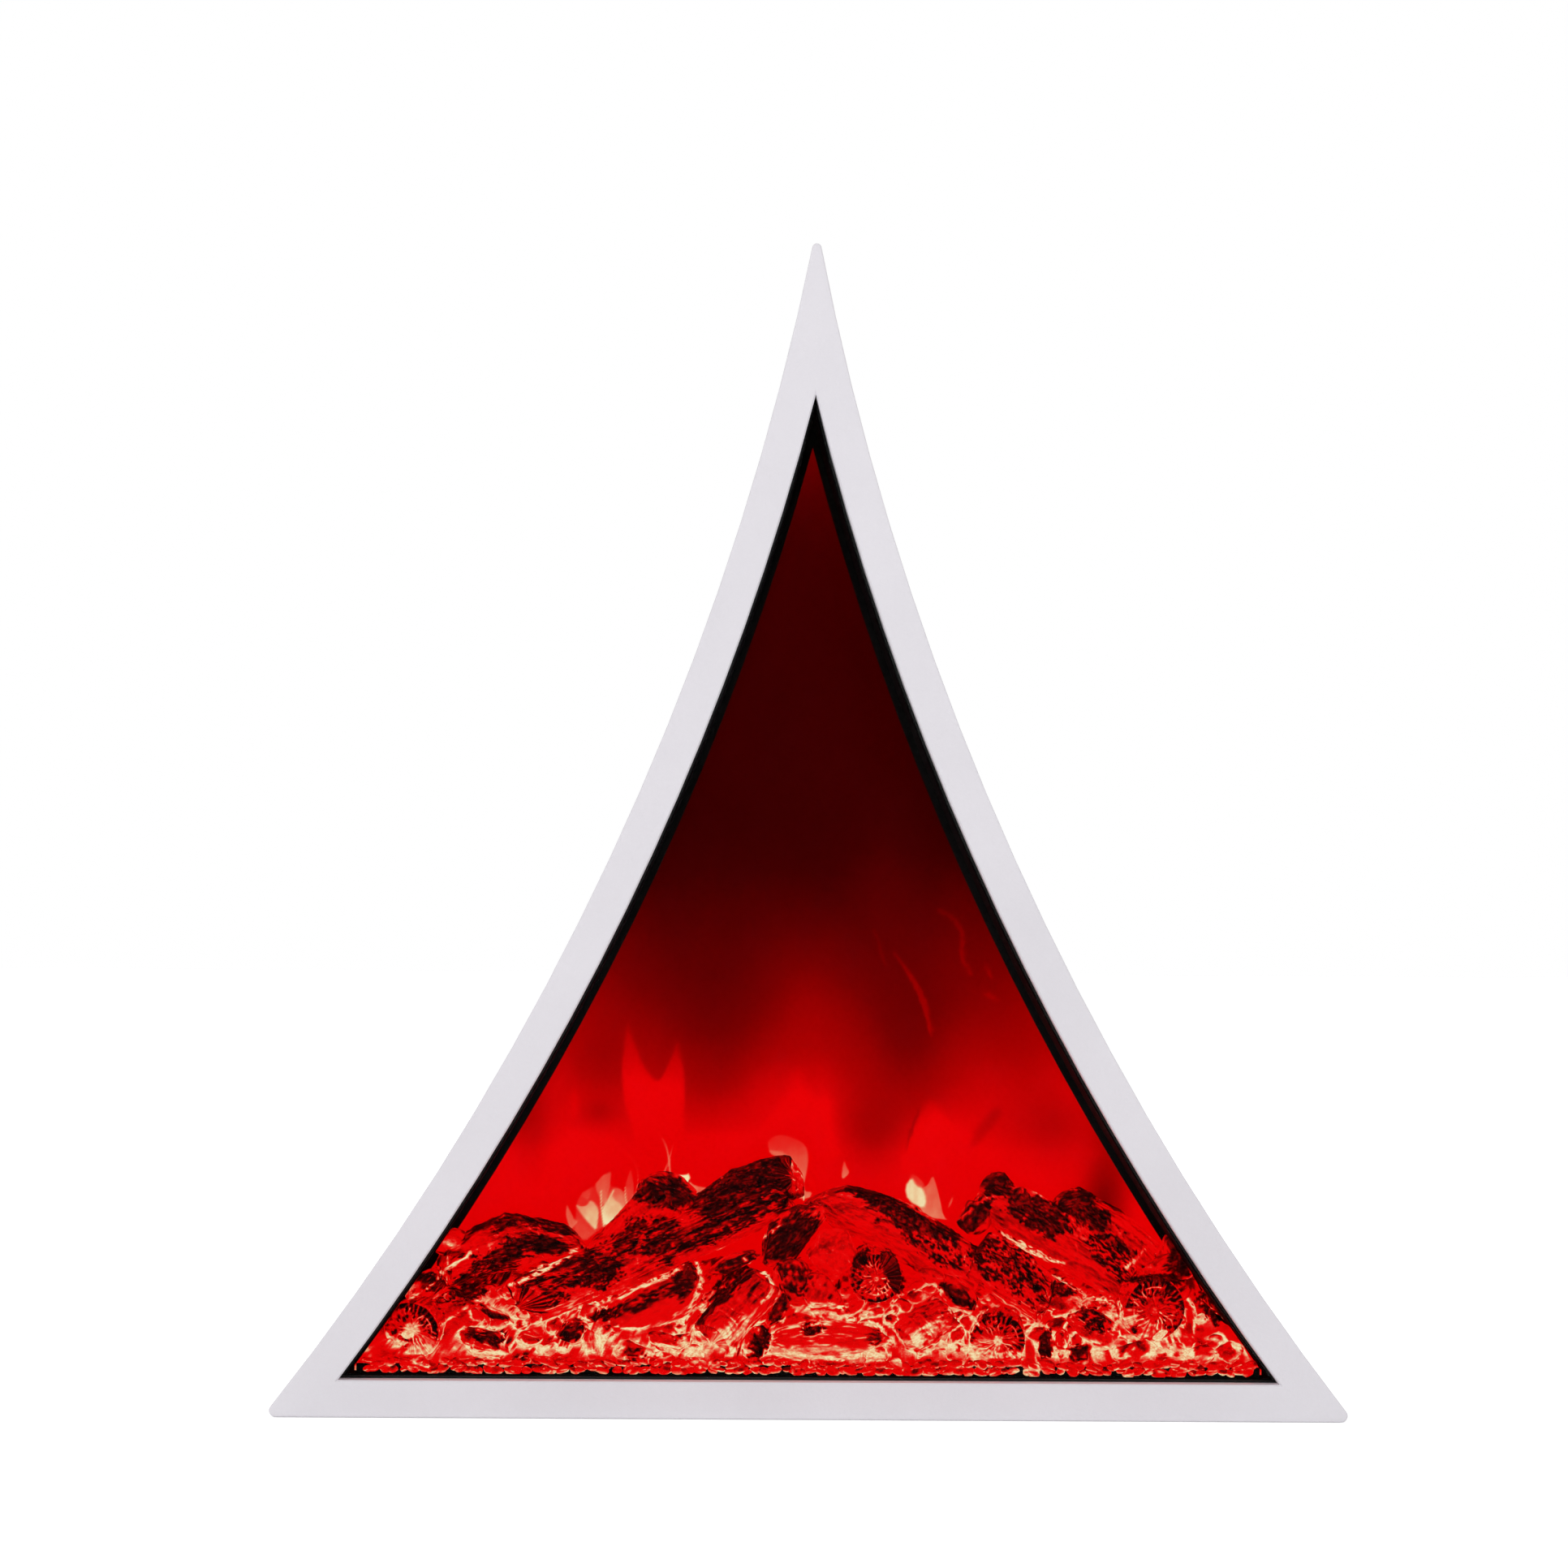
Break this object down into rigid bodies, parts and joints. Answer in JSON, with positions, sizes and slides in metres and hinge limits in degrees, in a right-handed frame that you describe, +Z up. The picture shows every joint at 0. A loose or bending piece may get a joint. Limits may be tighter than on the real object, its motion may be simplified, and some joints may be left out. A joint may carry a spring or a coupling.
{
  "type": "corner fireplace",
  "caption": "Electric flame-effect corner fire with a concave triangular painted frame, glass front, resin log bed, glowing flame screen, fan heater and folded-back housing.",
  "frame": {"origin": "middle of the bounding box in X and Y, on the floor plane", "axes": "+Z up to the tip, -Y towards the room (the glass front faces -Y), +X to the right as seen from the room"},
  "size_m": [0.68, 0.219, 0.7432],
  "materials": {
    "white_paint": "satin spray paint with a fine orange-peel texture on board",
    "clear_glass": "clear, polished",
    "black_rubber": "matt",
    "black_steel": "matt black powder coat",
    "red_acrylic": "translucent, back-lit red",
    "ember_resin": "translucent resin lit from beneath, charred on top",
    "log_resin": "charred resin casting with glowing cracks",
    "bright_metal": "bright",
    "zinc_steel": "zinc plated",
    "white_plastic": "satin",
    "black_plastic": "fine texture",
    "circuit_board": "green solder mask",
    "heater_block": "finned, dull"
  },
  "bodies": {
    "cabinet": {"front_frame": "white_paint", "front_glass": "clear_glass", "glass_gasket": "black_rubber", "firebox_liner": "black_steel", "screen_mask": "black_steel", "flame_screen": "red_acrylic", "screen_retainer": "black_steel", "ember_tray": "black_steel", "ember_led_board": "circuit_board", "ember_bed": "ember_resin", "log_rear_left": "log_resin", "log_long_left": "log_resin", "log_top_left": "log_resin", "log_stub_left": "log_resin", "log_long_right": "log_resin", "log_rear_right": "log_resin", "log_end_right": "log_resin", "log_block_right": "log_resin", "log_round_right": "log_resin", "log_round_centre": "log_resin", "log_round_low": "log_resin", "log_round_left": "log_resin", "log_chunk_centre": "log_resin", "log_chunk_right": "log_resin", "flame_stencil": "black_steel", "flame_led_bar": "bright_metal", "bearing_bracket": "zinc_steel", "rotor_bush": "white_plastic", "motor_bracket": "zinc_steel", "flame_motor": "zinc_steel", "blower_scroll": "black_plastic", "blower_motor": "zinc_steel", "ptc_heater": "heater_block", "base_plate": "black_steel", "housing_shell": "black_steel", "back_cover": "black_steel", "back_screw_1": "zinc_steel", "back_screw_2": "zinc_steel", "back_screw_3": "zinc_steel", "back_screw_4": "zinc_steel", "foot_pad_1": "black_rubber", "foot_pad_2": "black_rubber", "foot_pad_3": "black_rubber", "foot_pad_4": "black_rubber", "power_inlet": "black_plastic", "switch_body": "black_plastic", "control_board": "circuit_board", "control_panel": "black_plastic", "button_board": "circuit_board"},
    "flame_rotor": {"rotor_shaft": "zinc_steel", "rotor_vane_1": "bright_metal", "rotor_vane_2": "bright_metal", "rotor_vane_3": "bright_metal", "rotor_vane_4": "bright_metal", "rotor_coupling": "black_rubber"},
    "blower_rotor": {"blower_wheel": "bright_metal"},
    "rocker": {"switch_rocker": "black_plastic"},
    "power_button": {"button_power": "white_plastic"},
    "flame_button": {"button_flame": "white_plastic"},
    "heat_button": {"button_heat": "white_plastic"}
  },
  "joints": [
    {"name": "flame_rotor_spin", "type": "hinge", "parent": "cabinet", "child": "flame_rotor", "pos_m": [0, 0.01745, 0.062], "axis": [1, 0, 0], "continuous": true},
    {"name": "blower_spin", "type": "hinge", "parent": "cabinet", "child": "blower_rotor", "pos_m": [0, 0.07191, 0.032], "axis": [1, 0, 0], "continuous": true},
    {"name": "rocker_tilt", "type": "hinge", "parent": "cabinet", "child": "rocker", "pos_m": [-0.11, 0.10601, 0.094], "axis": [1, 0, 0], "range_deg": [-20, 0]},
    {"name": "power_press", "type": "slide", "parent": "cabinet", "child": "power_button", "axis": [0.8559, 0, 0.5171], "range_m": [-0.0015, 0], "stiffness_N_per_m": 400, "springref_m": 0.0005},
    {"name": "flame_press", "type": "slide", "parent": "cabinet", "child": "flame_button", "axis": [0.8559, 0, 0.5171], "range_m": [-0.0015, 0], "stiffness_N_per_m": 400, "springref_m": 0.0005},
    {"name": "heat_press", "type": "slide", "parent": "cabinet", "child": "heat_button", "axis": [0.8559, 0, 0.5171], "range_m": [-0.0015, 0], "stiffness_N_per_m": 400, "springref_m": 0.0005}
  ]
}
